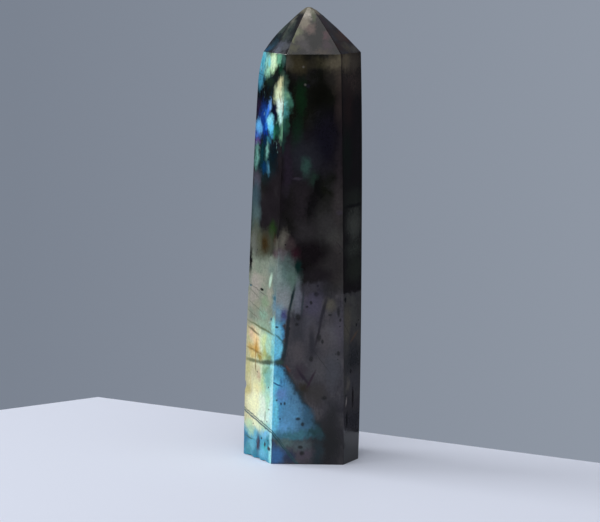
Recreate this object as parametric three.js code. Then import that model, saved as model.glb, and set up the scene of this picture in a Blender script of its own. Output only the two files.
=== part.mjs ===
// A labradorite point: one lump of stone, ground by hand into a six-sided shaft with six tip facets
// that meet in a blunt apex, polished all over, and sawn flat underneath so that it stands.
// Millimetres, +Z up, the long front face towards -Y, the origin under the middle of the stone.
import * as THREE from 'three';
import { ConvexGeometry } from 'three/addons/geometries/ConvexGeometry.js';

const TOTAL_HEIGHT = 80;
const SHOULDER_HEIGHT = 72.15; // where the shaft's faces end and the tip facets begin
const SHOULDER_TILT = 0.02; // the shoulder climbs by this much for each millimetre towards +X
const FACE_CROWN = 0.32; // how far a hand-polished face swells half-way up
const CROWN_SHARPNESS = 3; // the crown stays level over the middle and falls off towards the ends
const TIP_CROWN = 0.25; // how far the ridges of the tip swell half-way to the apex

const ARRIS_RADIUS = 0.35; // the long edges, softened by polishing
const BASE_EDGE_RADIUS = 0.2;
const SHOULDER_RADIUS = 0.55;
const TIP_RADIUS = 1.3; // the apex is rubbed blunt so that it doesn't chip

const APEX_OFF_CENTRE = { x: -0.5, y: -0.3 };

const CORNER_TURN = 60; // degrees between neighbouring faces
const TIP_FACET_LOOKS_UP = 46; // degrees above the level that a tip facet looks
const APEX_BALL_FROM = 36; // degrees up the apex's ball, below which the tip facets cover it

// The six ground faces in turn: the bearing that each one looks along, counted anticlockwise from
// the front, and its distance from the stone's axis at the base and at the shoulder.
const SHAFT_FACES = [
  { bearing: 0, atBase: 7.9, atShoulder: 7.52 }, // front, the widest
  { bearing: 60, atBase: 10.15, atShoulder: 7.93 }, // front right, which leans in the most
  { bearing: 120, atBase: 7.48, atShoulder: 7.28 }, // back right
  { bearing: 180, atBase: 8.05, atShoulder: 6.85 }, // back
  { bearing: 240, atBase: 8.92, atShoulder: 7.68 }, // back left
  { bearing: 300, atBase: 8.8, atShoulder: 7.7 }, // front left
];

const RINGS_UP_SHAFT = 9;
const RINGS_UP_TIP = 4;
const STEPS_ROUND_ARRIS = 4;
const STEPS_OVER_SHOULDER = 4;
const STEPS_ROUND_APEX = 24;
const STEPS_UP_APEX = 4;

const STONE_COLOUR = 0x35373a;

const radians = THREE.MathUtils.degToRad;
const tipLatitude = radians(TIP_FACET_LOOKS_UP);
const apexCentre = new THREE.Vector3(APEX_OFF_CENTRE.x, APEX_OFF_CENTRE.y, TOTAL_HEIGHT - TIP_RADIUS);

// The direction that a surface looks along, from its bearing and its angle above the level.
function facing(bearing, latitude) {
  return new THREE.Vector3(
    Math.sin(bearing) * Math.cos(latitude),
    -Math.cos(bearing) * Math.cos(latitude),
    Math.sin(latitude),
  );
}

// The distance of a face from the axis, at a share of the way up the shaft.
function faceDistance(face, share) {
  const crown = FACE_CROWN * (1 - Math.abs(2 * share - 1) ** CROWN_SHARPNESS);
  return THREE.MathUtils.lerp(face.atBase, face.atShoulder, share) + crown;
}

// Where two neighbouring faces meet once both are moved in by the radius of their arris.
function arrisCentre(face, nextFace, share, radius) {
  const a = facing(radians(face.bearing), 0);
  const b = facing(radians(nextFace.bearing), 0);
  const da = faceDistance(face, share) - radius;
  const db = faceDistance(nextFace, share) - radius;
  const cross = a.x * b.y - a.y * b.x;
  return new THREE.Vector3((da * b.y - db * a.y) / cross, (db * a.x - da * b.x) / cross, 0);
}

// A patch of a ball's surface, swept over bearings and latitudes.
function ballPatch(centre, radius, bearings, latitudes) {
  const points = [];
  for (const latitude of latitudes) {
    for (const bearing of bearings) {
      points.push(facing(bearing, latitude).multiplyScalar(radius).add(centre));
    }
  }
  return points;
}

function stepsBetween(from, to, steps) {
  return Array.from({ length: steps + 1 }, (_, i) => THREE.MathUtils.lerp(from, to, i / steps));
}

// One long arris: its rounded foot, its crowned run up the shaft, its rolled corner at the shoulder, and
// the ridge that carries it on to the apex.
function arrisPoints(face, nextFace) {
  const from = radians(face.bearing);
  const turn = radians(CORNER_TURN);
  const bearings = stepsBetween(from, from + turn, STEPS_ROUND_ARRIS);
  const points = [];

  const foot = arrisCentre(face, nextFace, 0, ARRIS_RADIUS);
  const footInset = ARRIS_RADIUS - BASE_EDGE_RADIUS;
  for (const latitude of [-Math.PI / 2, -Math.PI / 4, 0]) {
    for (const bearing of bearings) {
      const out = footInset + BASE_EDGE_RADIUS * Math.cos(latitude);
      const point = facing(bearing, 0).multiplyScalar(out).add(foot);
      point.z = BASE_EDGE_RADIUS * (1 + Math.sin(latitude));
      points.push(point);
    }
  }

  for (let ring = 1; ring < RINGS_UP_SHAFT; ring += 1) {
    const share = ring / RINGS_UP_SHAFT;
    const centre = arrisCentre(face, nextFace, share, ARRIS_RADIUS);
    centre.z = SHOULDER_HEIGHT * share;
    points.push(...ballPatch(centre, ARRIS_RADIUS, bearings, [0]));
  }

  const shoulder = arrisCentre(face, nextFace, 1, SHOULDER_RADIUS);
  shoulder.z = SHOULDER_HEIGHT + SHOULDER_TILT * shoulder.x
    - SHOULDER_RADIUS * Math.tan(tipLatitude / 2);
  const latitudes = stepsBetween(0, tipLatitude, STEPS_OVER_SHOULDER);
  points.push(...ballPatch(shoulder, SHOULDER_RADIUS, bearings, latitudes));

  const outAndUp = facing(from + turn / 2, tipLatitude);
  for (let ring = 1; ring < RINGS_UP_TIP; ring += 1) {
    const share = ring / RINGS_UP_TIP;
    const centre = shoulder.clone().lerp(apexCentre, share);
    centre.addScaledVector(outAndUp, TIP_CROWN * 4 * share * (1 - share));
    const radius = THREE.MathUtils.lerp(SHOULDER_RADIUS, TIP_RADIUS, share);
    points.push(...ballPatch(centre, radius, bearings, [tipLatitude]));
  }
  return points;
}

function apexPoints() {
  const allRound = stepsBetween(0, 2 * Math.PI, STEPS_ROUND_APEX).slice(1);
  const latitudes = stepsBetween(radians(APEX_BALL_FROM), Math.PI / 2, STEPS_UP_APEX).slice(0, -1);
  const top = new THREE.Vector3(0, 0, TIP_RADIUS).add(apexCentre);
  return [...ballPatch(apexCentre, TIP_RADIUS, allRound, latitudes), top];
}

// Every face of the stone was ground flat or slightly crowned, so the stone is the convex hull of its
// arrises and its apex.
function pointGeometry() {
  const points = SHAFT_FACES.flatMap((face, i) => (
    arrisPoints(face, SHAFT_FACES[(i + 1) % SHAFT_FACES.length])
  ));
  points.push(...apexPoints());
  const geometry = new ConvexGeometry(points);
  geometry.computeBoundingBox();
  const centre = geometry.boundingBox.getCenter(new THREE.Vector3());
  geometry.translate(-centre.x, -centre.y, 0);
  return geometry;
}

const polishedStone = new THREE.MeshStandardMaterial({
  name: 'polished_labradorite',
  color: STONE_COLOUR,
  roughness: 0.12,
  metalness: 0,
});

const stone = new THREE.Mesh(pointGeometry(), polishedStone);
stone.name = 'labradorite_point';

const labradoritePoint = new THREE.Group();
labradoritePoint.add(stone);

export default labradoritePoint;
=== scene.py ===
import math
import bpy
from mathutils import Matrix, Vector


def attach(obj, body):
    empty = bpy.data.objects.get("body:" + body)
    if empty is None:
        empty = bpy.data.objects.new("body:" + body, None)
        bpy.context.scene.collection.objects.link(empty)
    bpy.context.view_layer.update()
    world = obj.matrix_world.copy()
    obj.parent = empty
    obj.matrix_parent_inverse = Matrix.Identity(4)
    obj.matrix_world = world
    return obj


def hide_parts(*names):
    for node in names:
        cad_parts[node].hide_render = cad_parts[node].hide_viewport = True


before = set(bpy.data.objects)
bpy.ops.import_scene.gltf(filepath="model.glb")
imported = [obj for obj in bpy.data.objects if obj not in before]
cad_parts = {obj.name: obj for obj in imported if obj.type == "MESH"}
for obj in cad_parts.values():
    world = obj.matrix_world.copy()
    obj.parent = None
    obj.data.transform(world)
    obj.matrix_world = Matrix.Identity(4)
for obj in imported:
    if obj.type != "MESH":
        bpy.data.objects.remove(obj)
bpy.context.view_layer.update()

MM = 0.001

# The camera stands a little above and to the left of the stone's widest face and is rolled slightly,
# which is how the stone comes to lean to the right in the picture.
CAMERA_AIMS_AT = Vector((-0.98, 0.0, 35.07)) * MM
CAMERA_DISTANCE = 440 * MM
CAMERA_TURN = math.radians(-2.8)
CAMERA_RISE = math.radians(8.2)
CAMERA_ROLL = math.radians(1.43)
CAMERA_LENS = 148.8
CAMERA_SENSOR = 36.0
CAMERA_SEES_FROM = 10 * MM

towards_camera = Vector((
    math.sin(CAMERA_TURN) * math.cos(CAMERA_RISE),
    -math.cos(CAMERA_TURN) * math.cos(CAMERA_RISE),
    math.sin(CAMERA_RISE),
))
level_right = Vector((0, 0, 1)).cross(towards_camera).normalized()
level_up = towards_camera.cross(level_right)
roll = Matrix.Rotation(CAMERA_ROLL, 3, towards_camera)
camera_axes = Matrix((roll @ level_right, roll @ level_up, towards_camera)).transposed()
bpy.ops.object.camera_add()
camera = bpy.context.object
camera.name = "camera"
camera.matrix_world = (
    Matrix.Translation(CAMERA_AIMS_AT + towards_camera * CAMERA_DISTANCE) @ camera_axes.to_4x4()
)
camera.data.lens = CAMERA_LENS
camera.data.sensor_width = CAMERA_SENSOR
camera.data.clip_start = CAMERA_SEES_FROM
bpy.context.scene.camera = camera

# The surface that the stone stands on: a plain pale board with a matt finish. Its far corner comes
# to a point behind the stone's left side, and its two far edges fall away from there.
BOARD_CORNER = Vector((-38.0, 49.2, 0.0)) * MM
BOARD_LEFT_EDGE_PASSES = Vector((-56.3, 35.1, 0.0)) * MM
BOARD_RIGHT_EDGE_PASSES = Vector((53.5, -3.5, 0.0)) * MM
BOARD_RIGHT_EDGE = 330 * MM
BOARD_LEFT_EDGE = 215 * MM
BOARD_THICKNESS = 3 * MM
BOARD_COLOUR = (0.688, 0.724, 0.834, 1)
BOARD_ROUGHNESS = 0.6

bpy.ops.object.select_all(action="DESELECT")
bpy.ops.mesh.primitive_cube_add(size=1, location=(0.5, 0.5, -0.5))
board = bpy.context.object
board.name = "floor"
bpy.ops.object.transform_apply(location=True, rotation=False, scale=False)
along_left = (BOARD_LEFT_EDGE_PASSES - BOARD_CORNER).normalized()
along_right = (BOARD_RIGHT_EDGE_PASSES - BOARD_CORNER).normalized()
for vertex in board.data.vertices:
    share = vertex.co.copy()
    vertex.co = (
        BOARD_CORNER
        + along_right * BOARD_RIGHT_EDGE * share.x
        + along_left * BOARD_LEFT_EDGE * share.y
        + Vector((0, 0, BOARD_THICKNESS)) * share.z
    )
board_paint = bpy.data.materials.new("pale_board")
board_paint.use_nodes = True
board_shader = board_paint.node_tree.nodes["Principled BSDF"]
board_shader.inputs["Base Color"].default_value = BOARD_COLOUR
board_shader.inputs["Roughness"].default_value = BOARD_ROUGHNESS
board.data.materials.append(board_paint)

# Studio light: a soft panel low on the left, a large one high above, and a plain wall far behind that
# is a little lighter to the right. The room is dim everywhere else, so that the polish mirrors little.
KEY_PANEL = {"place": (-0.80, 0.25, 0.33), "aim": (0.0, 0.0, 0.03), "size": 0.42, "watts": 5.3}
TOP_PANEL = {"place": (-0.20, -0.30, 0.90), "aim": (0.0, 0.0, 0.0), "size": 1.25, "watts": 10.7}
WALL_ON_THE_LEFT = (0.198, 0.227, 0.280, 1)
WALL_ON_THE_RIGHT = (0.270, 0.305, 0.366, 1)
WALL_LIGHTENS = (-0.067, 0.163)     # how far to the right one looks, where it starts and where it ends
WALL_BEGINS = (0.60, 0.88)          # how far to the back one looks, in the dim room and on the wall
DIM_ROOM = (0.050, 0.055, 0.065, 1)


def add_panel(name, place, aim, size, watts):
    bpy.ops.object.light_add(type="AREA", location=place)
    panel = bpy.context.object
    panel.name = name
    panel.rotation_euler = (Vector(aim) - Vector(place)).to_track_quat("-Z", "Y").to_euler()
    panel.data.size = size
    panel.data.energy = watts


def put(kind, sockets, output=0, **settings):
    """Adds a node to the tree that is being made, fills its sockets and gives back what comes out."""
    node = tree.nodes.new(kind)
    for setting, value in settings.items():
        setattr(node, setting, value)
    for socket, value in sockets.items():
        if isinstance(value, bpy.types.NodeSocket):
            tree.links.new(value, node.inputs[socket])
        else:
            node.inputs[socket].default_value = value
    return node.outputs[output]


def spread(value, start, end, least=0.0, most=1.0):
    """Least before the start, most after the end, and even between them."""
    sockets = {"Value": value, "From Min": start, "From Max": end, "To Min": least, "To Max": most}
    return put("ShaderNodeMapRange", sockets)


def lay_over(under, over, share):
    """The colour under, covered by the colour over to this share."""
    return put("ShaderNodeMix", {0: share, 6: under, 7: over}, output=2, data_type="RGBA")


add_panel("key_panel", **KEY_PANEL)
add_panel("top_panel", **TOP_PANEL)
surround = bpy.data.worlds.new("surround")
surround.use_nodes = True
tree = surround.node_tree
looks_along = put("ShaderNodeTexCoord", {}, "Generated")
looks_right = put("ShaderNodeSeparateXYZ", {"Vector": looks_along}, "X")
looks_back = put("ShaderNodeSeparateXYZ", {"Vector": looks_along}, "Y")
wall = lay_over(WALL_ON_THE_LEFT, WALL_ON_THE_RIGHT, spread(looks_right, *WALL_LIGHTENS))
room = lay_over(DIM_ROOM, wall, spread(looks_back, *WALL_BEGINS))
tree.links.new(room, tree.nodes["Background"].inputs["Color"])
bpy.context.scene.world = surround
bpy.context.scene.view_settings.view_transform = "Standard"
bpy.context.scene.view_settings.look = "None"
bpy.context.scene.view_settings.exposure = 0
bpy.context.scene.view_settings.gamma = 1

# The stone: one lump of labradorite, sawn flat underneath, ground by hand into a tapering six-sided
# shaft with six tip facets, and polished all over. Its flats are slightly crowned, its arrises and
# its apex are rubbed soft, and its edges have a few small nicks.
TOTAL_HEIGHT = 80.0
SHOULDER_HEIGHT = 72.15
SHOULDER_TILT = 0.02        # the shoulder climbs by this much for each millimetre to the right
FACE_CROWN = 0.32           # how far a flat swells half-way up
CROWN_SHARPNESS = 3         # the crown stays level over the middle and falls off towards the ends
TIP_CROWN = 0.25            # how far the ridges of the tip swell half-way to the apex
TIP_RADIUS = 1.3            # the apex is rubbed blunt so that it doesn't chip
SHARP_APEX_ABOVE = 0.5      # how far above it the ridges would meet
APEX_X = -0.5
APEX_Y = -0.3
CORNER_TURN = 60
SHAFT_FACES = {             # bearing from the front, distance from the axis at the base and shoulder
    0: (7.90, 7.52),
    60: (10.15, 7.93),
    120: (7.48, 7.28),
    180: (8.05, 6.85),
    240: (8.92, 7.68),
    300: (8.80, 7.70),
}
SHAFT_RINGS = 15
TIP_RINGS = 4
SLACK = 0.001


def face_distance(bearing, height):
    """How far a ground face is from the stone's axis at a height, its crown included."""
    at_base, at_shoulder = SHAFT_FACES[bearing]
    share = min(max(height / SHOULDER_HEIGHT, 0), 1)
    crown = FACE_CROWN * (1 - abs(2 * share - 1) ** CROWN_SHARPNESS)
    return at_base + (at_shoulder - at_base) * share + crown


def outward(bearing):
    turn = math.radians(bearing)
    return Vector((math.sin(turn), -math.cos(turn), 0))


def arris(bearing, height):
    """Where the face on this bearing meets the next one round, at a height."""
    first = outward(bearing)
    second = outward(bearing + CORNER_TURN)
    a = face_distance(bearing, height)
    b = face_distance((bearing + CORNER_TURN) % 360, height)
    cross = first.x * second.y - first.y * second.x
    return Vector(((a * second.y - b * first.y) / cross, (b * first.x - a * second.x) / cross, height))


# It starts as a six-sided cylinder, one unit tall, that is cut into rings and drawn up by one unit
# more into a tip. Then each corner goes to its place, in millimetres.
bpy.ops.object.select_all(action="DESELECT")
bpy.ops.mesh.primitive_cylinder_add(
    vertices=6, radius=1, depth=1, location=(0, 0, 0.5), rotation=(0, 0, math.radians(CORNER_TURN / 2))
)
point = bpy.context.object
point.name = "polished_point"
bpy.ops.object.transform_apply(location=True, rotation=True, scale=False)
bpy.ops.object.mode_set(mode="EDIT")
bpy.ops.mesh.select_mode(type="EDGE")
bpy.ops.mesh.select_all(action="DESELECT")
bpy.ops.object.mode_set(mode="OBJECT")
for edge in point.data.edges:
    low, high = (point.data.vertices[i].co for i in edge.vertices)
    edge.select = abs(low.z - high.z) > 0.5
bpy.ops.object.mode_set(mode="EDIT")
bpy.ops.mesh.subdivide(number_cuts=SHAFT_RINGS - 1)
bpy.ops.mesh.select_mode(type="FACE")
bpy.ops.mesh.select_all(action="DESELECT")
bpy.ops.object.mode_set(mode="OBJECT")
for face in point.data.polygons:
    face.select = face.normal.z > 0.9
bpy.ops.object.mode_set(mode="EDIT")
for ring in range(TIP_RINGS):
    bpy.ops.mesh.extrude_region_move(TRANSFORM_OT_translate={"value": (0, 0, 1 / TIP_RINGS)})
bpy.ops.mesh.merge(type="CENTER")
bpy.ops.object.mode_set(mode="OBJECT")

apex_centre = Vector((APEX_X, APEX_Y, TOTAL_HEIGHT - TIP_RADIUS))
sharp_apex = Vector((APEX_X, APEX_Y, TOTAL_HEIGHT + SHARP_APEX_ABOVE))
for vertex in point.data.vertices:
    level = vertex.co.z
    corner_turn = math.degrees(math.atan2(vertex.co.x, -vertex.co.y)) % 360
    bearing = int(corner_turn // CORNER_TURN) * CORNER_TURN
    if level < 1 + SLACK:
        vertex.co = arris(bearing, level * SHOULDER_HEIGHT)
        if level > 1 - SLACK:
            vertex.co.z += SHOULDER_TILT * vertex.co.x
    elif level > 2 - SLACK:
        vertex.co = sharp_apex
    else:
        share = level - 1
        shoulder = arris(bearing, SHOULDER_HEIGHT)
        shoulder.z += SHOULDER_TILT * shoulder.x
        out_and_up = (outward(bearing + CORNER_TURN / 2) + Vector((0, 0, 1))).normalized()
        vertex.co = shoulder.lerp(sharp_apex, share)
        vertex.co += out_and_up * TIP_CROWN * 4 * share * (1 - share)
    vertex.co *= MM

# The flats are divided finely and the apex is rubbed round, then every arris is given its soft edge.
APEX_BALL_FROM = 40         # degrees up the apex's ball, below which the tip facets cover it
ARRIS_WIDTH = 0.3 * MM
ARRIS_TURNS_MORE_THAN = math.radians(20)

bpy.ops.object.select_all(action="DESELECT")
point.select_set(True)
bpy.context.view_layer.objects.active = point
finer = point.modifiers.new("finer", "SUBSURF")
finer.subdivision_type = "SIMPLE"
finer.levels = finer.render_levels = 4
bpy.ops.object.modifier_apply(modifier="finer")
apex_centre *= MM
for vertex in point.data.vertices:
    from_centre = vertex.co - apex_centre
    looks_up = math.degrees(math.asin(from_centre.normalized().z))
    if looks_up > APEX_BALL_FROM and from_centre.length > TIP_RADIUS * MM:
        vertex.co = apex_centre + from_centre.normalized() * TIP_RADIUS * MM
softened = point.modifiers.new("softened_arrises", "BEVEL")
softened.limit_method = "ANGLE"
softened.angle_limit = ARRIS_TURNS_MORE_THAN
softened.width = ARRIS_WIDTH
softened.segments = 3
softened.use_clamp_overlap = True
bpy.ops.object.modifier_apply(modifier="softened_arrises")

# Small nicks along its foot and its arrises, where it has knocked against other stones, and one
# shoulder corner that is worn down. A nick at the foot leans upwards as well as inwards.
CRISP = 0.7
WORN = 1.6
FOOT_NICK_RISES = 6.0
for bearing, along, up, reach, depth, edge in (
    (300, -3.2, 0.0, 1.1, 0.40, CRISP),
    (300, -0.5, 0.0, 0.9, 0.32, CRISP),
    (300, 1.7, 0.0, 0.8, 0.30, CRISP),
    (300, -5.1, 12.6, 0.9, 0.26, CRISP),
    (300, -5.0, 31.0, 0.7, 0.18, CRISP),
    (0, 6.9, 3.4, 0.6, 0.16, CRISP),
    (180, -4.4, 0.0, 0.9, 0.30, CRISP),
    (120, 2.6, 41.0, 0.7, 0.18, CRISP),
    (300, -4.6, 72.0, 5.0, 0.60, WORN),
):
    turn = math.radians(bearing)
    nick = outward(bearing) * face_distance(bearing, up)
    nick += Vector((math.cos(turn) * along, math.sin(turn) * along, up))
    inward = Vector((-nick.x, -nick.y, FOOT_NICK_RISES if up == 0 else 0)).normalized()
    for vertex in point.data.vertices:
        nearness = 1 - (vertex.co / MM - nick).length / reach
        if nearness > 0:
            vertex.co += inward * depth * nearness ** edge * MM
bpy.ops.object.shade_smooth_by_angle(angle=math.radians(28))

# What the polish shows: a dark, smoky body that looks deep, with grey, violet and pale clouds, sheets
# of blue, green and gold flash that end in ragged edges, and hairlines and black specks through it all.
# A place on a face is in millimetres: along it to the right, seen from outside, and up from the base.
# A face and the tip facet above it share their bearing.
FRONT = 0
RIGHT = 60
BACK_RIGHT = 120
BACK = 180
BACK_LEFT = 240
LEFT = 300
TIP_FACET_LOOKS_UP = math.radians(46)
THROUGH = 100               # a patch reaches this far into the stone, so that it isn't cut off

# A colour is written as it looks in the photo's daylight, from 0 to 255. On the three faces that show, many
# began as readings of small spots of the photo and were then adjusted by comparing it with the render.
# The stone's own colour comes from it: less what the polish mirrors there, of the board low down or of
# the room above, and then divided by the light that the face gets. Both are shares of full white.
LIGHT_ON_FLATS = {FRONT: 0.57, RIGHT: 0.33, BACK_RIGHT: 0.57, BACK: 0.57, BACK_LEFT: 0.99, LEFT: 0.99}
LIGHT_ON_TIP = {FRONT: 0.795, RIGHT: 0.565, BACK_RIGHT: 0.565, BACK: 0.565, BACK_LEFT: 1.22, LEFT: 1.22}
DAYLIGHT_COLOUR = (0.965, 0.99, 1.05)
BOARD_MIRRORED_TO = {FRONT: 29, RIGHT: 5.6, LEFT: 13}
BOARD_MIRRORED = {FRONT: 0.0162, RIGHT: 0.041, LEFT: 0.062}
ROOM_MIRRORED = {FRONT: 0.0015, RIGHT: 0.0048, LEFT: 0.0035}
TIP_MIRRORS = {FRONT: 0.056, RIGHT: 0.018, LEFT: 0.006}
HIDDEN_FLATS_MIRROR = 0.002
HIDDEN_TIP_MIRRORS = 0.01
DARKEST = 0.0012
PALEST = 0.95


def light_of(level):
    """What a level from 0 to 255 stands for on a screen, as a share of full white."""
    return ((level / 255 + 0.055) / 1.055) ** 2.4 if level > 10 else level / 3295


def tint(colour, face, up):
    """The stone's own colour at a height on a face, from how it looks there."""
    light = LIGHT_ON_FLATS[face]
    if up > SHOULDER_HEIGHT:
        light = LIGHT_ON_TIP[face]
        mirrored = TIP_MIRRORS.get(face, HIDDEN_TIP_MIRRORS)
    elif up < BOARD_MIRRORED_TO.get(face, 0):
        mirrored = BOARD_MIRRORED[face]
    else:
        mirrored = ROOM_MIRRORED.get(face, HIDDEN_FLATS_MIRROR)
    own = [(light_of(level) - mirrored) / light / warmth for level, warmth in zip(colour, DAYLIGHT_COLOUR)]
    return (*(min(max(level, DARKEST), PALEST) for level in own), 1)


def spot(face, along, up):
    """A place on a face or on the tip facet above it, which leans in by its own angle."""
    turn = math.radians(face)
    over_shoulder = max(up - SHOULDER_HEIGHT, 0)
    distance = face_distance(face, up) - over_shoulder * math.tan(TIP_FACET_LOOKS_UP)
    return outward(face) * distance + Vector((math.cos(turn) * along, math.sin(turn) * along, up))


def fade(value, start, end, most=1.0):
    """0 before the start, most after the end, and smooth between them."""
    sockets = {"Value": value, "From Min": start, "From Max": end, "To Max": most}
    return put("ShaderNodeMapRange", sockets, interpolation_type="SMOOTHSTEP")


def maths(operation, first, second=0.0):
    return put("ShaderNodeMath", {0: first, 1: second}, operation=operation)


def both(first, second):
    return maths("MULTIPLY", first, second)


def reach_along(place, way):
    """How far a place lies in this direction."""
    return put("ShaderNodeVectorMath", {0: place, 1: way}, "Value", operation="DOT_PRODUCT")


def mottle(across, per_mm, seed, detail=2.0, output="Fac"):
    """Cloudy unevenness with this many swells to the millimetre."""
    sockets = {"Vector": across, "W": seed, "Scale": per_mm, "Detail": detail}
    return put("ShaderNodeTexNoise", sockets, output, noise_dimensions="4D")


def stray(place, across, per_mm, seed, reach, detail=2.0):
    """The same place, pushed about by a mottle, so that the edges drawn there come out ragged."""
    push = mottle(across, per_mm, seed, detail, "Color")
    centred = put("ShaderNodeVectorMath", {0: push, 1: (0.5, 0.5, 0.5)}, operation="SUBTRACT")
    return put("ShaderNodeVectorMath", {0: centred, 1: reach, 2: place}, operation="MULTIPLY_ADD")


def cloud(under, face, along, up, wide, tall, colour, lean=0, soft=0.75, most=1.0, across=None):
    """A soft-edged patch over what is there already; it leans to the right by this many degrees."""
    sockets = {
        "Vector": across or ragged,
        "Location": spot(face, along, up),
        "Rotation": (0, math.radians(lean), math.radians(face)),
        "Scale": (wide * (1 + soft), THROUGH, tall * (1 + soft)),
    }
    inside = put("ShaderNodeMapping", sockets, vector_type="TEXTURE")
    depth_in = put("ShaderNodeTexGradient", {"Vector": inside}, "Fac", gradient_type="SPHERICAL")
    return lay_over(under, tint(colour, face, up), fade(depth_in, 0, 2 * soft / (1 + soft), most))


def clouds(under, face, rows, **manner):
    """Patches one over the other: along, up, half as wide, half as tall, and the colour."""
    for along, up, wide, tall, *colour in rows:
        under = cloud(under, face, along, up, wide, tall, colour, **manner)
    return under


def cracks(under, face, rows):
    """Healed hairlines: along and up where each starts and where it ends, width, colour and strength."""
    for from_along, from_up, to_along, to_up, width, *colour, most in rows:
        start = Vector((from_along, from_up))
        end = Vector((to_along, to_up))
        run = end - start
        middle = (start + end) / 2
        lean = math.degrees(math.atan2(run.x, run.y))
        under = cloud(
            under, face, middle.x, middle.y, width / 2, run.length / 2, colour, lean, 0.6, most, steady
        )
    return under


def specks(under, face, colour, most, rows):
    """Black grains and the like: along, up, width and height."""
    for along, up, width, height in rows:
        under = cloud(under, face, along, up, width / 2, height / 2, colour, 0, 0.5, most, steady)
    return under


def beside(face, start, end, soft, across):
    """1 to the left of a line up a face and 0 to its right."""
    turn = math.radians(face)
    run = Vector(end) - Vector(start)
    leftward = Vector((-run.y, run.x)).normalized()
    away = Vector((math.cos(turn), math.sin(turn), 0)) * leftward.x + Vector((0, 0, leftward.y))
    level = away.dot(spot(face, *start))
    return fade(reach_along(across, away), level - soft, level + soft)


def drift(value, start, end, colours, face, up):
    """Colours that follow each other evenly from the start to the end."""
    shades = put("ShaderNodeValToRGB", {"Fac": spread(value, start, end)})
    ramp = shades.node.color_ramp
    while len(ramp.elements) < len(colours):
        ramp.elements.new(0.5)
    for step, colour in enumerate(colours):
        ramp.elements[step].position = step / (len(colours) - 1)
        ramp.elements[step].color = tint(colour, face, up)
    return shades


def start_painting(name):
    """A new finish and the body that every face shares, from which its painting starts."""
    global finish, tree
    global place, steady, frayed, ragged        # where a layer is: in millimetres, and more and more uneven
    global height, quick, fine                  # how high it is, and mottles that the layers share
    global hazy, pale                           # two grounds that some faces lay over their body
    finish = bpy.data.materials.new(name)
    finish.use_nodes = True
    tree = finish.node_tree
    in_metres = put("ShaderNodeTexCoord", {}, "Object")
    place = put("ShaderNodeVectorMath", {0: in_metres, "Scale": 1 / MM}, operation="SCALE")
    threads = put("ShaderNodeMapping", {"Vector": place, "Scale": (2.0, 2.0, 0.35)})
    steady = stray(place, place, 0.9, 1, (0.35, 0.35, 0.35))
    swollen = stray(place, place, 0.32, 2, (1.6, 1.6, 2.2))
    frayed = stray(swollen, place, 1.5, 7, (1.1, 1.1, 1.5), 3.0)
    ragged = stray(frayed, threads, 1.0, 3, (0.4, 0.4, 1.6), 3.0)
    rolling = stray(swollen, place, 0.9, 8, (0.8, 0.8, 1.2))
    height = put("ShaderNodeSeparateXYZ", {"Vector": rolling}, "Z")
    slow = mottle(place, 0.09, 4, 3.0)
    quick = mottle(rolling, 0.35, 5, 4.0)
    fine = mottle(threads, 2.0, 6, 3.0)
    body = lay_over(tint((22, 19, 22), FRONT, 50), tint((17, 18, 14), FRONT, 50), fade(slow, 0.42, 0.58))
    body = lay_over(body, tint((35, 34, 36), FRONT, 50), fade(quick, 0.5, 0.72, 0.55))
    body = lay_over(body, tint((9, 8, 9), FRONT, 50), fade(quick, 0.46, 0.3, 0.7))
    greyed = lay_over(tint((54, 53, 57), FRONT, 15), tint((68, 66, 69), FRONT, 15), fade(quick, 0.45, 0.65))
    greyed = lay_over(greyed, tint((43, 42, 46), FRONT, 15), fade(quick, 0.46, 0.3))
    greyed = lay_over(greyed, tint((44, 44, 48), FRONT, 15), fade(fine, 0.52, 0.7, 0.7))
    hazy = lay_over(tint((24, 22, 24), FRONT, 50), tint((12, 13, 12), FRONT, 50), fade(quick, 0.42, 0.6))
    pale = lay_over(
        tint((126, 138, 126), LEFT, 30), tint((150, 152, 142), LEFT, 30), fade(quick, 0.45, 0.65)
    )
    pale = lay_over(pale, tint((104, 118, 108), LEFT, 30), fade(fine, 0.5, 0.75, 0.6))
    return lay_over(body, greyed, fade(height, 32.5, 29.0))


CLEAVAGE_LOOKS = Vector((1.23, 0.40, 1.0)).normalized()
STONE_BENDS_LIGHT = 1.56
POLISH_SHINE = 0.25
POLISH_ROUGHNESS = (0.05, 0.12)
POLISH_WAVES = 0.03 * MM


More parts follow.
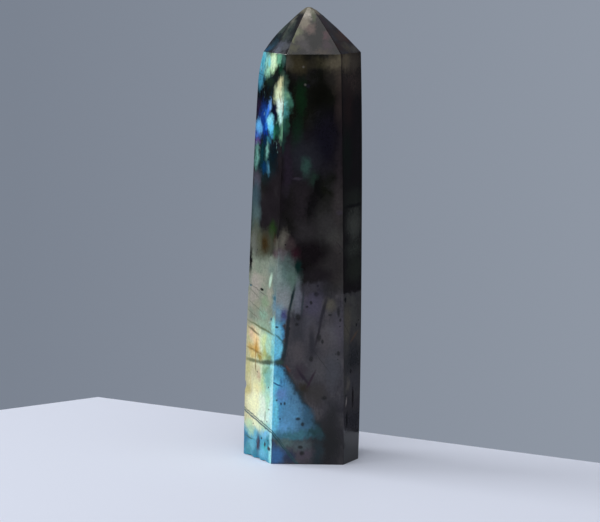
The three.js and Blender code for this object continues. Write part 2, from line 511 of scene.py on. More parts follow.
def end_painting(flat, tip):
    """Joins a face and its tip facet, draws what runs through all of them, and gives it its polish."""
    looks_up = put("ShaderNodeSeparateXYZ", {"Vector": put("ShaderNodeTexCoord", {}, "Normal")}, "Z")
    up = put("ShaderNodeSeparateXYZ", {"Vector": place}, "Z")
    colour = lay_over(flat, tip, fade(looks_up, 0.35, 0.55))
    # A pale cap over the rubbed apex, on every face: a painted highlight.
    colour = lay_over(colour, tint((132, 130, 120), FRONT, 79), fade(up, 78.5, 79.5, 0.6))

    # Two clefts run right through the stone near its foot, and fainter ones above come and go.
    cleavage = reach_along(steady, CLEAVAGE_LOOKS)
    some = fade(mottle(place, 0.2, 11), 0.5, 0.62, 0.5)
    for level, width, shade, most in (
        (-2.78, 0.17, (36, 74, 84), 0.9),
        (-2.50, 0.14, (44, 80, 86), 0.8),
        (11.5, 0.10, (30, 36, 38), some),
        (18.5, 0.09, (30, 36, 38), some),
        (26.0, 0.10, (30, 36, 38), some),
        (35.0, 0.09, (30, 36, 38), some),
    ):
        away = maths("ABSOLUTE", maths("SUBTRACT", cleavage, level))
        colour = lay_over(colour, tint(shade, LEFT, 20), fade(away, width, width * 0.3, most))

    # Dark pinpricks in some cells of the stone, and a grain all over.
    from_middle = put("ShaderNodeTexVoronoi", {"Vector": steady, "Scale": 0.5}, "Distance")
    chance = put("ShaderNodeSeparateColor", {"Color": from_middle.node.outputs["Color"]}, "Red")
    pinpricks = both(fade(from_middle, 0.11, 0.06, 0.8), fade(chance, 0.55, 0.6))
    colour = lay_over(colour, tint((18, 18, 22), FRONT, 50), pinpricks)
    grain = spread(mottle(place, 2.6, 12, 3.0), 0.3, 0.7, 0.84, 1.16)
    colour = put("ShaderNodeHueSaturation", {"Value": grain, "Color": colour})

    polish = tree.nodes["Principled BSDF"]
    smears = spread(mottle(place, 0.22, 13, 4.0), 0.35, 0.7, *POLISH_ROUGHNESS)
    waves = mottle(place, 0.28, 14, 1.0)
    waves = put("ShaderNodeBump", {"Strength": 1.0, "Distance": POLISH_WAVES, "Height": waves})
    tree.links.new(colour, polish.inputs["Base Color"])
    tree.links.new(smears, polish.inputs["Roughness"])
    tree.links.new(waves, polish.inputs["Normal"])
    polish.inputs["IOR"].default_value = STONE_BENDS_LIGHT
    polish.inputs["Specular IOR Level"].default_value = POLISH_SHINE
    point.data.materials.append(finish)


# The front face, from the shoulder down: olive and smoke, a few green glints, a faint violet haze, and a
# painted highlight down its right arris.
front = start_painting("polished_front")
front = clouds(front, FRONT, (
    (-3.0, 70.4, 2.2, 1.4, 50, 46, 34), (-4.4, 70.6, 0.9, 1.4, 62, 60, 54),
    (1.8, 70.8, 1.8, 0.9, 44, 42, 32), (4.4, 70.6, 1.9, 1.7, 78, 73, 62),
    (4.9, 67.6, 1.4, 1.9, 54, 48, 44), (3.2, 68.0, 1.0, 1.4, 34, 32, 30),
    # The tall narrow strips at 4.9 and 5.0 along, down the right arris, are a painted highlight.
    (4.9, 63.6, 0.9, 3.4, 38, 32, 32), (5.0, 52.0, 0.6, 7.0, 34, 30, 33),
    (1.4, 65.0, 1.8, 3.2, 11, 11, 8), (-1.9, 64.5, 0.8, 3.0, 14, 32, 18),
    (-2.4, 58.4, 0.9, 2.4, 16, 32, 22), (2.4, 57.0, 2.2, 4.5, 17, 16, 24),
    (-1.2, 54.0, 2.6, 3.4, 31, 32, 38), (-0.9, 52.8, 0.7, 1.5, 40, 62, 58),
    (0.5, 50.7, 0.9, 1.2, 27, 42, 36), (-4.0, 52.5, 0.7, 4.0, 33, 28, 37),
    (-1.2, 46.5, 1.8, 4.0, 31, 28, 31), (1.6, 48.6, 0.7, 2.2, 12, 12, 12),
    (0.5, 45.0, 0.9, 3.0, 12, 11, 12), (3.6, 42.0, 2.8, 3.8, 43, 42, 43),
    (4.8, 39.8, 1.4, 2.2, 52, 52, 51), (5.2, 46.0, 1.1, 3.4, 46, 43, 44),
    (5.2, 36.0, 1.5, 4.0, 50, 47, 48), (-0.6, 41.2, 1.6, 2.0, 38, 36, 38),
    (1.2, 37.4, 3.0, 2.2, 18, 15, 17), (4.4, 35.4, 2.2, 2.2, 38, 36, 37),
    (2.8, 32.0, 1.2, 1.0, 38, 37, 41), (1.6, 33.6, 2.6, 1.4, 26, 23, 26),
))

# Its flank carries on the flash of the left face; lower down the pale stone crosses over as well.
front = clouds(front, FRONT, (
    (-4.7, 66.2, 0.7, 1.4, 70, 98, 86), (-4.5, 64.3, 0.8, 1.5, 84, 134, 122),
    (-4.9, 62.8, 0.5, 1.5, 120, 196, 192), (-4.5, 61.8, 0.5, 1.1, 60, 122, 124),
    (-3.8, 63.6, 0.5, 1.3, 54, 98, 84), (-4.8, 59.8, 0.6, 1.3, 34, 70, 62),
    (-4.2, 60.2, 0.3, 0.9, 30, 62, 50), (-4.9, 57.4, 0.5, 1.6, 26, 44, 42),
    (-4.1, 64.9, 0.3, 0.7, 96, 138, 110), (-4.4, 39.9, 1.1, 1.5, 82, 80, 74),
    (-3.0, 39.2, 0.9, 1.2, 50, 42, 44), (-4.6, 37.2, 1.0, 1.2, 82, 72, 78),
    (-2.2, 37.0, 0.9, 1.4, 40, 20, 28), (-4.2, 33.0, 2.2, 3.4, 84, 104, 102),
    (-5.3, 33.0, 0.8, 3.4, 112, 128, 126), (-2.6, 32.6, 0.9, 2.0, 72, 92, 86),
    (-1.5, 35.3, 0.5, 1.5, 10, 30, 28), (-4.4, 29.2, 1.6, 2.6, 110, 118, 122),
    (-1.7, 29.6, 0.7, 2.6, 84, 88, 98), (-5.0, 26.9, 0.9, 1.5, 100, 132, 152),
    (-4.0, 26.7, 0.6, 1.1, 62, 66, 104),
))

# The grey and violet clouds of its lower half.
front = clouds(front, FRONT, (
    (0.9, 28.6, 1.7, 2.4, 64, 62, 74), (0.4, 24.4, 1.4, 1.8, 66, 66, 73),
    (-0.8, 23.4, 0.9, 1.4, 64, 62, 68), (5.7, 24.0, 1.1, 3.0, 65, 63, 70),
    (4.0, 23.2, 1.0, 1.6, 78, 78, 84), (0.6, 31.4, 1.6, 0.8, 48, 47, 53),
    (3.9, 28.6, 1.1, 1.2, 72, 70, 64), (-1.6, 23.0, 1.4, 2.6, 50, 50, 54),
    (-1.4, 20.0, 1.3, 1.6, 66, 63, 66), (1.0, 23.0, 0.9, 2.6, 60, 58, 62),
    (3.6, 22.4, 1.2, 2.6, 66, 64, 67), (2.6, 17.0, 1.6, 2.2, 64, 63, 66),
    (-0.9, 16.6, 1.0, 1.4, 52, 47, 52), (4.8, 17.0, 1.2, 3.0, 60, 61, 66),
    (2.0, 12.6, 1.8, 1.8, 52, 50, 50), (4.9, 9.0, 1.1, 2.2, 42, 42, 44),
    (4.4, 4.0, 3.0, 4.4, 33, 32, 34), (-0.1, 13.4, 0.9, 1.0, 44, 41, 28),
    (-3.1, 17.2, 0.5, 0.5, 76, 54, 52),
))

# The blue sheet in the front face's lower left, and the stripe of cyan flash above it.
across_front = put("ShaderNodeSeparateXYZ", {"Vector": ragged}, "X")
blues = (
    (94, 170, 200), (70, 132, 172), (74, 118, 150), (68, 104, 130),
    (54, 81, 102), (44, 64, 74), (38, 56, 60),
)
flash = drift(across_front, -5.6, 3.4, blues, FRONT, 15)
flash = lay_over(flash, tint((48, 76, 112), FRONT, 15), fade(fine, 0.5, 0.72, 0.65))
flash = lay_over(flash, tint((60, 94, 118), FRONT, 15), fade(quick, 0.5, 0.7, 0.6))
edge = beside(FRONT, (2.6, 6.0), (-3.9, 17.0), 0.6, frayed)
sheet = both(both(edge, fade(height, 18.6, 17.2)), fade(height, 4.2, 5.6))
dark_edge = beside(FRONT, (3.2, 6.2), (-3.3, 17.4), 0.6, frayed)
margin = both(both(dark_edge, fade(height, 18.4, 17.4)), fade(height, 3.6, 5.6))
front = lay_over(front, tint((26, 42, 44), FRONT, 15), margin)
front = lay_over(front, flash, sheet)
front = clouds(front, FRONT, (
    (-5.0, 11.0, 0.5, 4.5, 96, 176, 220), (-3.9, 12.4, 0.9, 1.2, 82, 118, 164),
    (-4.6, 16.2, 0.9, 1.0, 68, 132, 168), (-2.6, 8.4, 1.4, 1.8, 76, 122, 156),
    (-3.6, 6.6, 1.0, 1.0, 84, 134, 174), (0.6, 8.6, 0.9, 1.2, 50, 78, 98),
    (-1.6, 5.4, 3.2, 0.8, 56, 94, 106), (1.8, 5.6, 1.1, 0.8, 38, 58, 62),
    (-4.6, 1.6, 1.5, 1.6, 54, 88, 130), (-3.0, 3.9, 1.4, 0.8, 72, 92, 92),
    (-0.6, 3.3, 1.7, 1.1, 66, 76, 80), (0.2, 1.5, 1.6, 1.1, 64, 60, 68),
    (-2.2, 1.2, 0.9, 1.0, 44, 52, 70), (2.6, 2.0, 0.9, 2.4, 38, 46, 50),
))
stripe = both(beside(FRONT, (-4.5, 18.4), (-3.5, 27.0), 0.35, frayed), fade(height, 26.4, 24.0))
stripe = both(stripe, fade(height, 18.0, 19.0))
front = lay_over(front, flash, stripe)
front = clouds(front, FRONT, ((-5.0, 23.4, 0.6, 1.4, 102, 166, 192), (-4.6, 20.6, 0.7, 1.2, 98, 174, 202)))

front = cracks(front, FRONT, (
    (-2.2, 31.6, -3.1, 27.0, 0.5, 12, 28, 30, 1.0), (-3.0, 27.6, -3.5, 21.0, 0.6, 24, 38, 42, 1.0),
    (-3.4, 22.0, -4.0, 18.2, 0.8, 28, 42, 46, 0.9), (-0.6, 31.0, -0.9, 26.6, 0.35, 46, 52, 56, 0.8),
    (-5.4, 23.2, -3.9, 21.9, 0.3, 52, 96, 100, 0.8), (-5.5, 18.3, -3.9, 18.3, 0.9, 44, 62, 56, 0.9),
    (-5.7, 14.7, -4.0, 13.9, 0.25, 44, 84, 128, 1.0), (3.4, 29.6, 2.4, 25.2, 0.6, 38, 37, 41, 0.9),
    (2.6, 25.6, 1.6, 21.0, 0.4, 40, 38, 42, 0.9), (0.9, 24.0, 1.2, 19.9, 1.0, 40, 40, 44, 0.8),
    (-1.3, 17.0, 0.7, 14.3, 0.5, 40, 33, 42, 0.9), (1.8, 16.7, 0.2, 13.6, 0.4, 44, 32, 42, 0.9),
))
front = specks(front, FRONT, (26, 25, 32), 0.85, (
    (1.6, 30.4, 0.8, 0.8), (0.75, 28.9, 0.5, 0.6), (0.0, 28.2, 0.5, 0.4), (-1.5, 26.3, 0.9, 1.1),
    (2.3, 22.7, 0.8, 1.3), (1.0, 18.9, 0.7, 1.0), (5.6, 27.3, 0.5, 1.7), (5.9, 25.9, 0.4, 0.6),
    (4.1, 26.8, 0.6, 0.4), (5.8, 20.0, 0.6, 0.8), (3.5, 12.0, 0.9, 0.7), (-1.0, 8.2, 0.8, 0.5),
    (-0.2, 7.2, 0.6, 0.7), (-3.5, 10.9, 0.4, 0.6), (-4.1, 10.8, 0.3, 0.5), (-5.1, 24.5, 0.6, 0.4),
    (-0.5, 3.1, 0.8, 0.6), (-0.2, 2.0, 0.8, 0.8), (-0.7, 66.7, 0.7, 0.6), (-2.9, 24.3, 0.4, 0.6),
    (2.9, 22.0, 0.4, 0.8), (1.9, 31.9, 0.5, 0.4), (-1.6, 25.0, 0.7, 0.6),
))
front = specks(front, FRONT, (84, 82, 80), 0.7, ((-1.6, 70.0, 0.4, 0.4), (-1.2, 66.9, 0.4, 0.4)))
front = specks(front, FRONT, (52, 48, 58), 0.6, ((-2.2, 50.6, 1.5, 0.5), (5.3, 44.8, 1.2, 0.8)))

# The front tip facet: a hazy grey, and pale patches towards the apex that are partly the stone's own colour
# and partly a painted highlight.
front_tip = lay_over(hazy, tint((66, 63, 66), FRONT, 74), fade(quick, 0.4, 0.6))
front_tip = clouds(front_tip, FRONT, (
    (-1.4, 77.6, 0.9, 1.4, 128, 123, 114), (-0.6, 79.2, 0.8, 0.7, 172, 167, 160),
    (-0.3, 76.4, 0.8, 1.0, 104, 94, 92), (-2.8, 75.8, 0.8, 0.9, 118, 122, 104),
    (-3.8, 74.8, 0.9, 0.7, 112, 117, 94), (-2.2, 74.6, 0.9, 0.8, 92, 90, 88),
    (1.2, 75.0, 0.8, 0.9, 62, 56, 58), (2.3, 75.2, 0.6, 0.8, 87, 75, 79),
    (2.7, 73.6, 1.0, 0.7, 79, 73, 77), (-3.4, 72.9, 1.2, 0.6, 85, 85, 76),
    (-1.4, 73.4, 1.0, 0.7, 84, 82, 84), (0.3, 73.6, 0.9, 0.8, 62, 60, 62),
    (1.7, 72.5, 1.4, 0.5, 82, 78, 75), (-4.4, 72.6, 0.5, 0.6, 92, 94, 92),
    (0.3, 78.6, 0.4, 0.8, 92, 96, 84),
))
end_painting(front, front_tip)

# The right face: almost black above, smoky below.
right = start_painting("polished_right")
right = lay_over(right, tint((18, 15, 17), RIGHT, 50), fade(height, 30.2, 30.8, 0.9))
smoke = lay_over(tint((50, 50, 50), RIGHT, 20), tint((41, 41, 43), RIGHT, 20), fade(quick, 0.42, 0.6))
right = lay_over(right, smoke, fade(height, 30.8, 29.8, 0.9))
right = lay_over(right, tint((36, 35, 39), RIGHT, 10), fade(height, 14.0, 11.0, 0.8))
right = clouds(right, RIGHT, (
    (-0.4, 70.6, 3.6, 2.0, 50, 46, 42), (-2.4, 70.8, 1.4, 1.4, 66, 61, 52),
    (0.0, 67.0, 3.4, 2.0, 37, 32, 31), (-1.6, 63.0, 1.6, 3.0, 27, 21, 21),
    (-2.0, 55.0, 1.6, 4.0, 15, 19, 17), (0.0, 46.6, 3.2, 2.0, 25, 27, 25),
    (0.4, 42.3, 2.6, 2.4, 45, 47, 45), (0.4, 38.0, 2.8, 1.6, 33, 35, 33),
    (0.8, 34.4, 2.8, 2.0, 27, 29, 26), (2.2, 27.0, 1.4, 2.0, 44, 44, 44),
    (-2.2, 25.0, 1.2, 3.0, 56, 54, 50), (0.4, 18.6, 3.2, 2.2, 30, 31, 34),
    (0.6, 14.4, 2.4, 1.8, 42, 42, 46), (-1.9, 14.1, 0.7, 1.0, 58, 56, 55),
    (0.4, 7.4, 3.4, 1.6, 31, 31, 35),
))
right = lay_over(right, tint((16, 15, 14), RIGHT, 20), fade(height, 6.4, 5.0))
right = cracks(right, RIGHT, (
    (-3.9, 45.7, 3.9, 45.7, 0.5, 8, 10, 9, 1.0), (-1.0, 21.6, 1.8, 23.2, 0.5, 62, 50, 42, 0.7),
    (0.1, 9.8, 0.1, 13.6, 0.7, 22, 20, 22, 1.0), (-2.6, 10.4, -2.3, 12.0, 0.4, 88, 84, 84, 0.8),
    (-2.1, 6.6, -2.1, 9.2, 0.7, 18, 18, 20, 1.0),
))
right = specks(right, RIGHT, (20, 19, 21), 0.9, (
    (-3.0, 29.4, 0.8, 0.9), (1.4, 24.4, 0.6, 0.6), (-0.8, 16.4, 0.5, 0.8),
))

right_tip = lay_over(hazy, tint((44, 38, 32), RIGHT, 74), fade(quick, 0.42, 0.62))
right_tip = clouds(right_tip, RIGHT, (
    (-0.9, 77.8, 0.7, 0.9, 45, 33, 30), (0.9, 76.4, 0.8, 0.9, 40, 33, 30),
    (-0.1, 75.2, 1.0, 0.9, 50, 42, 32), (1.7, 75.0, 0.9, 0.9, 54, 42, 34),
    (-2.4, 73.6, 1.0, 0.8, 46, 39, 30), (-0.1, 73.2, 1.2, 0.7, 58, 54, 48),
    (2.2, 72.7, 1.2, 0.5, 60, 58, 56), (-0.6, 79.0, 0.5, 0.6, 84, 72, 64),
))
end_painting(right, right_tip)

# The back right face: dark, with a single bronze-green flash.
back_right = start_painting("polished_back_right")
back_right = clouds(back_right, BACK_RIGHT, (
    (0.6, 58.6, 1.6, 3.4, 52, 70, 34), (1.0, 60.2, 0.8, 1.6, 116, 128, 62),
    (0.0, 57.0, 0.7, 1.4, 60, 118, 96), (1.6, 55.8, 0.5, 1.2, 44, 92, 112),
    (-2.0, 66.0, 1.6, 2.6, 34, 30, 26), (-1.6, 47.0, 1.8, 4.0, 36, 34, 36),
    (1.8, 40.0, 1.6, 4.0, 14, 14, 13), (-1.0, 24.0, 1.8, 4.0, 60, 58, 62),
    (1.8, 17.0, 1.4, 3.4, 50, 50, 54), (-1.6, 10.0, 1.6, 3.0, 44, 42, 46),
    (1.4, 5.0, 1.8, 2.6, 34, 33, 36),
))
back_right = cracks(back_right, BACK_RIGHT, (
    (-3.0, 35.0, 2.6, 29.0, 0.3, 10, 12, 12, 0.9),
))
back_right = specks(back_right, BACK_RIGHT, (20, 20, 22), 0.9, (
    (-1.2, 27.0, 0.7, 0.7), (1.4, 21.0, 0.8, 0.6), (0.2, 14.0, 0.5, 0.9), (2.0, 9.0, 0.6, 0.6),
))
end_painting(back_right, hazy)

# The back: one broad slanting sheet of blue and green.
back = start_painting("polished_back")
across_back = reach_along(ragged, (-0.83, 0.0, 0.56))
seas = (
    (18, 40, 48), (30, 92, 112), (44, 126, 166), (56, 140, 190),
    (70, 150, 160), (104, 150, 96), (122, 118, 60), (34, 34, 28),
)
sea = drift(across_back, 10.0, 27.0, seas, BACK, 35)
sea = lay_over(sea, tint((20, 50, 70), BACK, 35), fade(fine, 0.48, 0.66, 0.7))
sea_ends = both(fade(across_back, 9.0, 12.0), fade(across_back, 28.0, 25.0))
sea_ends = both(sea_ends, fade(quick, 0.34, 0.46))
back = lay_over(back, sea, sea_ends)
back = clouds(back, BACK, (
    (2.6, 66.0, 1.6, 3.0, 38, 40, 30), (-2.8, 62.0, 1.4, 4.0, 20, 24, 30),
    (0.6, 56.0, 2.6, 3.0, 34, 34, 38), (3.6, 20.0, 1.2, 3.0, 40, 52, 60),
    (-3.4, 20.0, 1.6, 3.4, 66, 64, 66), (0.4, 8.0, 3.0, 3.0, 58, 56, 60),
    (-3.6, 6.0, 1.6, 3.0, 40, 40, 44), (3.2, 4.0, 1.6, 2.6, 46, 66, 82),
))
back = cracks(back, BACK, (
    (-3.6, 49.0, 2.6, 30.0, 0.3, 14, 30, 34, 0.8), (-4.6, 27.4, 4.6, 31.4, 0.35, 24, 40, 40, 0.8),
))
back = specks(back, BACK, (20, 22, 26), 0.9, (
    (-1.4, 41.0, 0.8, 0.6), (1.9, 36.2, 0.5, 0.9), (0.4, 28.0, 0.6, 0.6), (-2.6, 14.0, 0.8, 0.8),
    (2.2, 12.4, 0.6, 1.1),
))
end_painting(back, hazy)

# The back left face, which carries on the pale stone and the flash of the left one.
back_left = start_painting("polished_back_left")
pale_ends = both(fade(height, 35.0, 31.0), fade(height, 17.0, 20.0))
pale_side = beside(BACK_LEFT, (3.4, 36.0), (0.6, 18.0), 1.4, frayed)
back_left = lay_over(back_left, pale, both(pale_ends, pale_side))
back_left = clouds(back_left, BACK_LEFT, (
    (3.6, 70.0, 1.4, 1.8, 60, 134, 160), (3.9, 66.4, 0.9, 1.6, 40, 84, 120),
    (1.8, 68.6, 1.0, 1.6, 24, 60, 96), (3.4, 59.0, 1.6, 2.6, 40, 84, 160),
    (4.0, 56.6, 0.9, 1.2, 70, 60, 130), (3.6, 53.0, 1.0, 2.4, 44, 96, 96),
    (-1.6, 62.0, 2.0, 5.0, 18, 20, 24), (3.8, 46.0, 1.0, 5.0, 44, 60, 66),
    (-1.0, 47.0, 2.4, 5.0, 24, 26, 22), (3.0, 38.0, 2.0, 2.4, 80, 84, 74),
    (-2.6, 36.0, 1.4, 3.0, 44, 42, 44), (-3.0, 26.0, 1.4, 4.0, 70, 74, 76),
    (3.4, 20.0, 1.8, 2.0, 190, 166, 112), (1.2, 21.6, 1.6, 1.4, 150, 150, 104),
    (3.2, 14.0, 1.8, 3.4, 196, 194, 150), (0.6, 15.0, 1.6, 3.0, 132, 168, 140),
    (-1.8, 12.0, 1.6, 3.6, 70, 116, 128), (1.4, 9.0, 2.4, 1.8, 160, 190, 162),
    (3.4, 3.4, 1.8, 2.4, 100, 168, 190), (0.0, 3.6, 2.0, 2.4, 62, 112, 140),
    (-3.4, 4.0, 1.4, 2.6, 40, 60, 74),
))
end_painting(back_left, hazy)

# The left face, where most of the flash is: green, cream and blue patches under the shoulder.
left = start_painting("polished_left")
left = clouds(left, LEFT, (
    (0.0, 66.0, 6.0, 4.0, 22, 28, 26), (-3.0, 65.0, 2.0, 2.4, 12, 11, 17),
    (1.2, 60.5, 1.6, 4.0, 8, 18, 34), (-3.8, 71.4, 1.2, 1.0, 118, 202, 222),
    (-3.8, 69.8, 1.3, 2.0, 80, 168, 196), (-3.7, 67.4, 0.9, 1.4, 66, 138, 170),
    (-2.0, 70.2, 0.9, 1.6, 138, 206, 200), (-1.3, 69.0, 0.8, 1.4, 148, 206, 178),
    (0.2, 70.9, 1.3, 1.3, 206, 246, 200), (-0.3, 69.6, 0.9, 0.9, 180, 224, 182),
    (2.2, 71.2, 0.9, 1.0, 110, 178, 150), (3.4, 71.2, 0.7, 1.0, 62, 96, 92),
    (2.7, 69.6, 0.7, 1.0, 20, 54, 38), (3.4, 67.6, 0.8, 1.2, 64, 86, 74),
    (-0.8, 67.0, 1.2, 1.0, 28, 44, 34), (2.7, 66.6, 0.8, 1.1, 184, 186, 146),
    (2.4, 65.0, 1.3, 1.4, 206, 224, 186), (3.8, 64.6, 0.6, 1.6, 128, 166, 142),
    (3.0, 63.2, 1.0, 1.5, 212, 240, 232), (3.5, 61.2, 0.6, 1.5, 166, 224, 214),
    (3.9, 58.9, 0.6, 1.7, 96, 144, 120),
), soft=0.7)
left = clouds(left, LEFT, (
    (-3.9, 62.0, 1.0, 2.0, 36, 28, 52), (-1.8, 60.4, 1.5, 2.6, 24, 60, 140),
    (-0.2, 63.0, 0.5, 1.0, 112, 168, 232), (-0.9, 61.4, 0.6, 0.9, 58, 124, 214),
    (0.2, 60.0, 1.0, 1.1, 132, 220, 252), (0.6, 58.6, 0.7, 1.0, 84, 184, 238),
    (-3.5, 59.0, 1.0, 1.2, 92, 162, 222), (-3.8, 57.4, 0.9, 0.8, 68, 106, 190),
    (-3.9, 56.2, 0.8, 0.6, 88, 54, 128), (-1.4, 58.2, 0.6, 2.0, 20, 58, 150),
    (2.5, 59.0, 0.9, 1.4, 26, 70, 56), (-1.4, 56.6, 0.7, 0.9, 12, 34, 72),
    (-0.3, 56.6, 0.7, 0.8, 50, 120, 152), (1.8, 62.0, 0.7, 1.6, 8, 18, 44),
), soft=0.7)

# Dark teal with pale strokes below them, then a grey-green strip down the stone's edge.
left = clouds(left, LEFT, (
    (-1.4, 53.0, 2.8, 3.0, 8, 42, 48), (1.8, 54.6, 1.2, 2.2, 10, 24, 30),
    (-0.6, 54.8, 0.5, 1.2, 110, 166, 160), (-3.9, 53.8, 0.7, 1.9, 100, 152, 146),
    (-2.2, 54.6, 0.5, 1.4, 14, 50, 60), (0.1, 51.8, 0.5, 1.1, 76, 130, 160),
    (-1.2, 51.8, 0.8, 1.1, 15, 52, 92), (-3.5, 49.4, 1.2, 1.6, 76, 71, 86),
    (-3.6, 46.8, 1.3, 2.6, 58, 77, 88), (-3.4, 43.2, 1.4, 2.2, 74, 94, 98),
    (-3.2, 41.0, 1.4, 1.6, 76, 86, 80), (2.4, 41.2, 1.0, 1.5, 34, 54, 26),
    (-1.2, 38.4, 3.6, 2.4, 80, 84, 72), (0.0, 38.8, 1.3, 1.7, 54, 43, 24),
    (3.4, 39.6, 0.6, 0.8, 46, 32, 18), (-3.8, 37.8, 1.1, 2.2, 98, 103, 98),
    (4.0, 38.8, 0.9, 1.2, 88, 88, 82), (3.9, 37.2, 1.0, 1.0, 86, 76, 82),
))

# The pale stone of its middle.
pale_ends = both(fade(height, 37.4, 35.2), fade(height, 21.0, 25.0))
left = lay_over(left, pale, pale_ends)
left = clouds(left, LEFT, (
    (2.6, 34.6, 1.3, 1.4, 112, 130, 124), (4.2, 33.0, 0.9, 3.0, 112, 126, 126),
    (-2.7, 31.2, 1.5, 1.4, 156, 153, 148), (-3.0, 28.8, 1.4, 1.6, 150, 148, 142),
    (3.9, 30.4, 0.8, 2.0, 108, 126, 128), (4.0, 28.2, 0.8, 1.6, 104, 134, 152),
    (0.7, 28.2, 1.4, 0.9, 128, 150, 126), (-2.1, 27.4, 1.2, 0.9, 142, 146, 132),
    (0.3, 26.2, 1.4, 0.8, 132, 164, 148),
))
left = cracks(left, LEFT, (
    (1.9, 31.3, 2.5, 33.5, 0.8, 184, 214, 198, 1.0),
))
left = cloud(left, LEFT, -4.6, 35.2, 0.5, 2.2, (12, 14, 20))

# The cream, gold and green sheet of its lower part, blue at the very foot.
across_left = reach_along(ragged, (0.5, -0.866, 0))
golds = (
    (178, 176, 142), (204, 202, 162), (222, 226, 190), (214, 230, 200),
    (172, 210, 184), (140, 206, 208), (160, 232, 244),
)
ray = drift(across_left, -5.2, 4.3, golds, LEFT, 20)
ray = lay_over(ray, tint((150, 162, 118), LEFT, 20), fade(fine, 0.5, 0.72, 0.6))
left = lay_over(left, ray, fade(height, 25.4, 21.8))
left = clouds(left, LEFT, (
    (0.2, 24.4, 2.2, 0.9, 140, 166, 148), (3.4, 24.8, 0.9, 1.0, 142, 216, 222),
    (4.1, 22.6, 0.6, 1.6, 136, 204, 216), (-3.4, 22.3, 1.1, 1.0, 208, 184, 156),
    (-2.0, 21.4, 1.0, 1.2, 232, 206, 158), (0.8, 21.6, 1.0, 1.1, 200, 220, 166),
    (2.4, 21.0, 0.9, 1.4, 168, 210, 188), (-3.6, 19.6, 1.0, 0.9, 190, 164, 106),
    (-1.9, 19.9, 1.0, 0.9, 206, 166, 94), (-2.9, 18.4, 1.0, 0.8, 206, 188, 126),
    (-0.7, 18.7, 0.9, 0.8, 160, 144, 78), (0.9, 19.4, 0.8, 1.0, 178, 188, 122),
    (2.4, 18.9, 1.1, 0.7, 132, 158, 118), (3.8, 20.0, 0.7, 1.2, 120, 190, 196),
    (-3.9, 16.0, 1.0, 0.9, 186, 184, 138), (-2.0, 15.4, 1.2, 1.0, 194, 192, 158),
    (-0.6, 15.2, 0.7, 1.2, 196, 180, 154), (1.8, 16.4, 1.1, 0.8, 124, 160, 128),
    (2.6, 14.8, 1.2, 1.6, 124, 184, 178), (0.7, 13.6, 0.8, 1.6, 186, 212, 162),
    (-1.2, 12.4, 1.4, 1.6, 230, 228, 182), (-4.2, 12.0, 0.9, 1.6, 196, 190, 146),
    (-1.8, 9.8, 2.2, 1.4, 238, 242, 202), (0.9, 10.0, 1.2, 1.4, 220, 238, 222),
    (2.6, 11.0, 0.9, 1.6, 178, 222, 196), (1.2, 7.9, 1.6, 0.9, 222, 242, 230),
    (3.1, 8.6, 0.8, 1.4, 206, 240, 234),
))
foot = lay_over(tint((88, 160, 192), LEFT, 3), tint((60, 126, 158), LEFT, 3), fade(quick, 0.45, 0.62))
left = lay_over(left, foot, beside(LEFT, (3.6, 4.6), (-4.8, 5.4), 1.1, frayed))
left = clouds(left, LEFT, (
    (-3.4, 5.9, 1.1, 0.8, 186, 214, 180), (-2.6, 4.6, 1.3, 0.8, 162, 200, 178),
    (1.9, 4.9, 1.2, 0.7, 122, 188, 226), (-0.9, 4.2, 0.9, 0.7, 108, 176, 204),
    (-0.3, 2.7, 0.5, 1.7, 18, 62, 88), (-2.5, 2.2, 1.2, 1.2, 104, 172, 196),
    (-3.8, 1.0, 1.0, 0.8, 84, 150, 168), (1.8, 2.3, 0.8, 0.8, 88, 176, 192),
    (3.7, 1.2, 0.6, 1.4, 150, 224, 230), (1.0, 1.2, 1.1, 0.9, 110, 184, 216),
    (-1.4, 0.6, 1.0, 0.6, 66, 132, 156), (3.0, 3.4, 0.6, 0.9, 72, 134, 154),
))
# A pale cyan line down its front arris, low down: the flash's own colour with a painted highlight on it.
left = clouds(left, LEFT, (
    (3.9, 10.0, 0.6, 5.4, 184, 234, 244), (4.0, 2.6, 0.3, 2.0, 168, 226, 240),
), soft=0.9)

# Bright and dark strokes run through the flash of the upper left, and break up its edges.
drawn_out = {"Vector": place, "Rotation": (0, math.radians(-32), 0), "Scale": (2.6, 2.6, 0.8)}
slanting = put("ShaderNodeMapping", drawn_out)
strokes = mottle(slanting, 1.0, 9, 3.0)
upper = fade(height, 50.0, 53.0)
dark_strokes = both(fade(strokes, 0.54, 0.64, 0.65), upper)
bright_strokes = both(both(fade(strokes, 0.40, 0.32, 0.35), fade(quick, 0.5, 0.6)), upper)
left = lay_over(left, tint((14, 34, 46), LEFT, 60), dark_strokes)
left = lay_over(left, tint((150, 206, 206), LEFT, 60), bright_strokes)

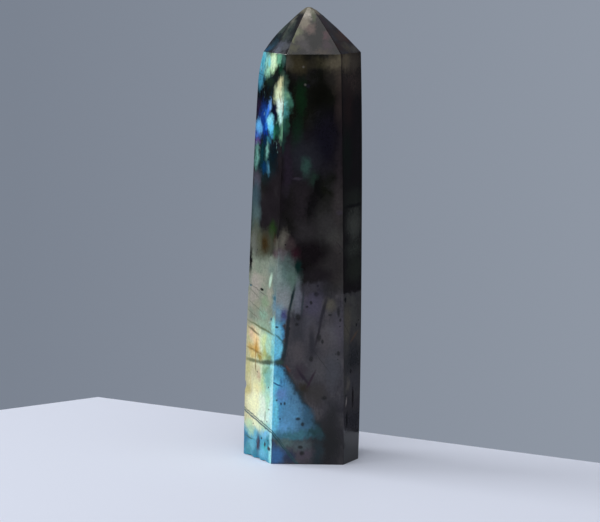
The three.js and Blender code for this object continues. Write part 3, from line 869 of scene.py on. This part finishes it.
left = clouds(left, LEFT, (
    (0.1, 70.7, 0.8, 0.9, 216, 250, 214), (-1.2, 70.4, 0.5, 0.9, 128, 214, 226),
    (2.5, 66.2, 0.5, 0.7, 214, 212, 168), (2.7, 64.9, 0.9, 1.1, 216, 232, 198),
    (3.1, 63.1, 0.8, 1.2, 222, 246, 240), (3.5, 61.4, 0.4, 1.0, 190, 240, 236),
    (0.1, 60.2, 0.9, 0.9, 140, 228, 255), (0.6, 59.2, 0.6, 0.8, 100, 206, 250),
    (-0.9, 59.4, 0.5, 0.8, 40, 110, 214), (-3.2, 58.8, 0.9, 0.9, 96, 172, 234),
    (1.7, 58.2, 0.4, 1.0, 44, 110, 92), (-0.7, 62.4, 0.3, 0.9, 60, 120, 226),
))
left = cracks(left, LEFT, (
    (2.5, 65.3, 3.3, 63.6, 0.2, 126, 116, 84, 1.0), (-4.8, 30.2, -1.2, 28.8, 0.25, 104, 110, 100, 0.6),
    (-4.8, 28.0, 0.6, 26.2, 0.25, 100, 108, 96, 0.6), (-4.6, 26.2, -1.6, 25.2, 0.25, 100, 104, 90, 0.6),
    (-4.6, 24.3, 4.2, 23.0, 0.4, 92, 106, 74, 0.8), (-4.6, 23.3, -0.8, 22.2, 0.45, 96, 92, 66, 0.8),
    (-5.0, 17.4, -0.2, 17.5, 0.7, 104, 112, 84, 0.9), (-0.6, 17.4, 4.6, 18.3, 0.9, 66, 78, 62, 0.9),
    (-4.9, 19.6, 0.2, 19.0, 0.4, 136, 112, 62, 0.7), (-1.7, 15.6, -1.9, 17.4, 0.4, 124, 112, 76, 0.8),
    (-1.9, 17.6, -1.8, 21.4, 0.4, 156, 114, 54, 0.8), (-3.4, 14.8, -3.2, 11.4, 0.4, 206, 196, 148, 0.7),
    (1.8, 9.1, 1.8, 7.2, 0.3, 142, 166, 150, 1.0), (-4.6, 3.5, -2.2, 3.3, 0.3, 72, 110, 108, 1.0),
))
left = specks(left, LEFT, (18, 24, 22), 1.0, ((-0.5, 30.5, 1.1, 0.5),))
left = specks(left, LEFT, (60, 100, 116), 0.9, (
    (3.8, 29.5, 0.8, 0.8), (-4.3, 30.7, 0.7, 0.4), (2.9, 25.7, 0.5, 0.5),
))
left = specks(left, LEFT, (16, 58, 72), 1.0, (
    (1.9, 3.1, 0.5, 1.0), (3.2, 2.6, 0.9, 0.7), (0.8, 4.0, 0.4, 0.4),
))

left_tip = lay_over(hazy, tint((42, 46, 50), LEFT, 74), fade(quick, 0.42, 0.62))
left_tip = clouds(left_tip, LEFT, (
    (-2.0, 76.0, 0.9, 1.0, 62, 72, 70), (-2.2, 74.5, 1.0, 0.8, 28, 40, 46),
    (-1.7, 73.6, 1.0, 0.7, 40, 58, 70), (-2.5, 72.9, 0.9, 0.5, 42, 72, 96),
    (-3.2, 72.5, 0.9, 0.4, 24, 66, 98), (0.9, 73.3, 1.4, 0.8, 86, 91, 105),
    (0.3, 75.2, 0.7, 1.0, 74, 84, 78), (0.0, 76.5, 0.5, 1.1, 86, 92, 86),
    (-0.6, 77.8, 0.4, 0.9, 104, 106, 100), (0.6, 72.4, 1.2, 0.4, 96, 102, 116),
    (2.6, 73.0, 1.2, 0.8, 84, 88, 96), (1.2, 74.8, 1.0, 0.8, 62, 68, 70),
    (-1.5, 77.8, 0.6, 0.8, 62, 68, 68), (0.4, 76.2, 0.8, 0.8, 52, 60, 60),
))
end_painting(left, left_tip)

# Underneath, the saw left the body bare. Then each flat takes the finish of its own bearing, in the
# order in which the finishes were made, and what looks down takes the last.
underside = start_painting("sawn_underside")
end_painting(underside, hazy)
SAWN_UNDERSIDE = 6
LOOKS_DOWN = -0.7
for flat in point.data.polygons:
    bearing = math.degrees(math.atan2(flat.normal.x, -flat.normal.y)) % 360
    flat.material_index = round(bearing / CORNER_TURN) % 6
    if flat.normal.z < LOOKS_DOWN:
        flat.material_index = SAWN_UNDERSIDE
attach(point, "root")
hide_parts("labradorite_point")
